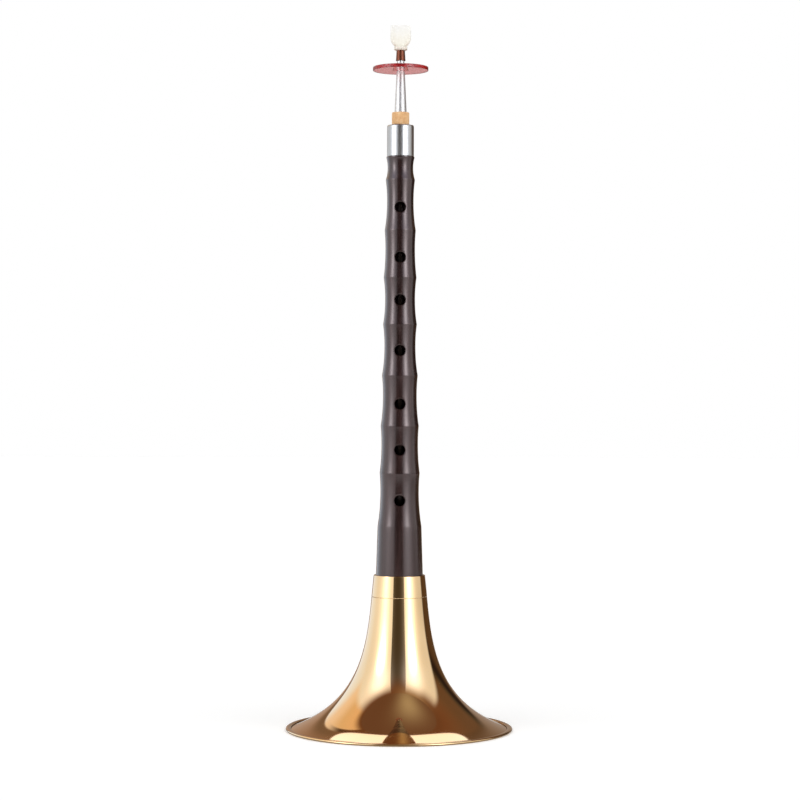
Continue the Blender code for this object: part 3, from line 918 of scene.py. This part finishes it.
# An oval light high at the back: half its width and depth and its distance back, for each metre of height
BACK_LIGHT = (1.30, 1.33, 1.38)
BACK_LIGHT_SPREAD = (0.43, 0.48)
BACK_LIGHT_BACK = 0.97
BACK_LIGHT_SOFTNESS = 0.05

# The grey card round the horn's foot, a painted shadow of the horn on the floor that only reflections see,
# and what is added to it towards its edge
CARD_SHADOW = (0.28, 0.26, 0.23)
CARD_EDGE = (0.70, 0.72, 0.75)


def mirrored(name, corners, faces, material, through_plastic=False):
    """A stage surface that only reflections see, or also what looks through the clear disc."""
    mesh = bpy.data.meshes.new(name)
    mesh.from_pydata(corners, [], faces)
    mesh.materials.append(material)
    item = bpy.data.objects.new(name, mesh)
    bpy.context.scene.collection.objects.link(item)
    item.visible_camera = False
    item.visible_diffuse = False
    item.visible_transmission = through_plastic
    item.visible_shadow = False


def back_light(m, below):
    """The oval light added to a wall or ceiling, in its direction from the horn's foot."""
    x, y, z = m.axes()
    across = m.maths("DIVIDE", m.maths("DIVIDE", x, z), BACK_LIGHT_SPREAD[0])
    back = m.maths("SUBTRACT", m.maths("DIVIDE", y, z), BACK_LIGHT_BACK)
    along = m.maths("DIVIDE", back, BACK_LIGHT_SPREAD[1])
    far = m.maths("ADD", m.squared(across), m.squared(along))
    outside = m.step(far, 1.0, BACK_LIGHT_SOFTNESS)
    return m.plus(below, m.maths("SUBTRACT", 1.0, outside), BACK_LIGHT)


def wall_light():
    """The wall's softboxes and hot spots, placed by azimuth and height."""
    m = Light("wall_light")
    x, y, z = m.axes()
    azimuth = m.maths("DEGREES", m.maths("ARCTAN2", x, m.maths("MULTIPLY", y, -1.0)))
    light = DARK_FLAG
    for start, end, foot, top, colour in SOFTBOXES:
        amount = m.maths("MULTIPLY", m.band(azimuth, start, end), m.band(z, foot, top))
        light = m.plus(light, amount, colour)
    for around, upward, colour in HOT_SPOTS:
        amount = m.maths("MULTIPLY", m.spot(azimuth, *around), m.spot(z, *upward))
        light = m.plus(light, amount, colour)
    return m.set(Color=back_light(m, light))


def ceiling_light():
    m = Light("ceiling_light")
    x, y, _ = m.axes()
    amount = m.maths("MULTIPLY", m.spot(x, *BOUNCE_ACROSS), m.spot(y, *BOUNCE_ALONG))
    return m.set(Color=back_light(m, m.plus(CEILING_DIM, amount, CEILING_BOUNCE)))


def shadow_card_light():
    """Painted shadow: grey round the horn's foot, fading to the floor's white at the card's edge."""
    m = Light("painted_shadow_card")
    return m.set(Color=m.plus(CARD_SHADOW, m.step(m.away(), *CARD_FADE), CARD_EDGE))


def circle(radius, height):
    """Corners of a stage surface round the horn's axis."""
    corners = []
    for side in range(WALL_SIDES):
        angle = math.tau * side / WALL_SIDES
        corners.append((radius * math.cos(angle), radius * math.sin(angle), height))
    return corners


def reflections():
    """What the polished surfaces mirror: a round wall of softboxes, its ceiling and a grey card that is a
    painted shadow round the horn's foot.
    """
    foot, top = circle(WALL_RADIUS, 0), circle(WALL_RADIUS, WALL_TOP)
    faces = []
    for side in range(WALL_SIDES):
        beside = (side + 1) % WALL_SIDES
        faces.append((side, beside, WALL_SIDES + beside, WALL_SIDES + side))
    whole = [tuple(range(WALL_SIDES))]
    mirrored("light_wall", foot + top, faces, wall_light())
    mirrored("light_ceiling", top, whole, ceiling_light(), True)
    # The grey card is a painted shadow of the horn on the floor, seen only in reflections.
    mirrored("painted_shadow_card", circle(CARD_RADIUS, CARD_HEIGHT), whole, shadow_card_light())


def sun(name, azimuth):
    """A wide soft lamp far away, which mirror images don't show."""
    data = bpy.data.lights.new(name, "SUN")
    data.energy = SUN_STRENGTH
    data.angle = SUN_SOFTNESS
    item = bpy.data.objects.new(name, data)
    bpy.context.scene.collection.objects.link(item)
    level = math.cos(SUN_HEIGHT)
    towards = Vector((math.sin(azimuth) * level, -math.cos(azimuth) * level, math.sin(SUN_HEIGHT)))
    item.rotation_euler = towards.to_track_quat("Z", "Y").to_euler()
    item.visible_glossy = False


def make_floor():
    size = FLOOR_SIZE
    corners = [(-size, -size, 0), (size, -size, 0), (size, size, 0), (-size, size, 0)]
    mesh = bpy.data.meshes.new("floor")
    mesh.from_pydata(corners, [], [(0, 1, 2, 3)])
    mesh.materials.append(floor_material())
    floor = bpy.data.objects.new("floor", mesh)
    bpy.context.scene.collection.objects.link(floor)


def background(tree, strength):
    node = tree.nodes.new("ShaderNodeBackground")
    node.inputs["Color"].default_value = (1, 1, 1, 1)
    node.inputs["Strength"].default_value = strength
    return node.outputs[0]


def sky():
    """An even soft light on the horn, behind which the seen background is plain white."""
    world = bpy.data.worlds.new("studio")
    bpy.context.scene.world = world
    world.use_nodes = True
    tree = world.node_tree
    tree.nodes.clear()
    mix = tree.nodes.new("ShaderNodeMixShader")
    tree.links.new(seen_rays(tree), mix.inputs[0])
    tree.links.new(background(tree, SKY_STRENGTH), mix.inputs[1])
    tree.links.new(background(tree, 1.0), mix.inputs[2])
    output = tree.nodes.new("ShaderNodeOutputWorld")
    tree.links.new(mix.outputs[0], output.inputs["Surface"])


def seen_rays(tree):
    """1 for camera, glossy and transmission rays, 0 for the rest."""
    path = tree.nodes.new("ShaderNodeLightPath")
    first = tree.nodes.new("ShaderNodeMath")
    first.operation = "MAXIMUM"
    tree.links.new(path.outputs["Is Camera Ray"], first.inputs[0])
    tree.links.new(path.outputs["Is Glossy Ray"], first.inputs[1])
    second = tree.nodes.new("ShaderNodeMath")
    second.operation = "MAXIMUM"
    tree.links.new(first.outputs[0], second.inputs[0])
    tree.links.new(path.outputs["Is Transmission Ray"], second.inputs[1])
    return second.outputs[0]


def floor_material():
    """White floor that keeps the shadow; the rays that see it get a little light of its own."""
    material = bpy.data.materials.new("floor_white")
    material.use_nodes = True
    tree = material.node_tree
    shader = tree.nodes["Principled BSDF"]
    shader.inputs["Base Color"].default_value = (0.96, 0.96, 0.96, 1)
    shader.inputs["Roughness"].default_value = 0.9
    shader.inputs["Specular IOR Level"].default_value = 0.0
    shader.inputs["Emission Color"].default_value = (1, 1, 1, 1)
    strength = tree.nodes.new("ShaderNodeMath")
    strength.operation = "MULTIPLY"
    strength.inputs[1].default_value = FLOOR_GLOW
    tree.links.new(seen_rays(tree), strength.inputs[0])
    tree.links.new(strength.outputs[0], shader.inputs["Emission Strength"])
    return material


def studio():
    reflections()
    sun("left_softbox", -SUN_SIDE)
    sun("right_softbox", SUN_SIDE)
    make_floor()
    sky()


def camera():
    """The photo's camera, in front of the horn and level."""
    data = bpy.data.cameras.new("photo_camera")
    data.sensor_width = SENSOR_MM
    data.lens = SENSOR_MM * FOCAL_PX / FRAME_PX
    item = bpy.data.objects.new("photo_camera", data)
    bpy.context.scene.collection.objects.link(item)
    item.location = (CAMERA_OFFSET, -CAMERA_DISTANCE, CAMERA_HEIGHT)
    item.rotation_euler = (math.pi / 2, CAMERA_ROLL, 0)
    bpy.context.scene.camera = item


def assign(node, material):
    """Puts a material on a CAD node that is shown as it is."""
    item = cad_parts[node]
    if item.material_slots:
        item.material_slots[0].material = material
    else:
        item.data.materials.append(material)


def dress():
    # Metals: darkest and lightest colour, smoothest and roughest, strength of the rings, lacquer
    brass = metal("polished_brass", (0.85, 0.57, 0.27), (0.89, 0.61, 0.31), 0.04, 0.08, 0.03, 0.9)
    brass_inside = metal("spun_brass_inside", (0.72, 0.42, 0.17), (0.86, 0.54, 0.25), 0.22, 0.36, 0.25)
    brass_plain = metal("turned_brass", (0.70, 0.46, 0.20), (0.84, 0.60, 0.30), 0.20, 0.34, 0.3)
    nickel = metal("polished_nickel", (0.47, 0.47, 0.465), (0.52, 0.52, 0.515), 0.28, 0.34, 0.08)
    nickel_satin = metal("satin_nickel", (0.55, 0.535, 0.515), (0.61, 0.60, 0.585), 0.42, 0.50, 0.05)
    copper = metal("drawn_copper", (0.14, 0.040, 0.018), (0.19, 0.060, 0.030), 0.38, 0.48, 0.2, 0.1)
    dark_wood = wood("dark_rosewood")
    cork_skin = cork("sanded_cork")
    thread = plain_fibre("waxed_thread", (0.92, 0.87, 0.75), (0.97, 0.95, 0.88), 0.6)
    rubber = plain_fibre("seal_rubber_black", (0.016, 0.016, 0.017), (0.03, 0.03, 0.03), 0.45)
    make_bell(brass, brass_inside)
    make_collar(brass)
    make_pipe(dark_wood)
    make_head(nickel)
    make_staple(nickel_satin)
    make_staple_cork(cork_skin)
    make_disc(red_plastic("clear_red_plastic"))
    make_reed_tube(copper)
    make_cane(cane("scraped_cane"))
    make_binding(thread)
    assign("bell_rim_wire", brass_plain)
    assign("pipe_liner", brass_plain)
    assign("tuning_tube", brass_plain)
    assign("tenon_cork", cork_skin)
    assign("tuning_seal", rubber)


camera()
dress()
studio()
bpy.context.scene.view_settings.view_transform = "Standard"
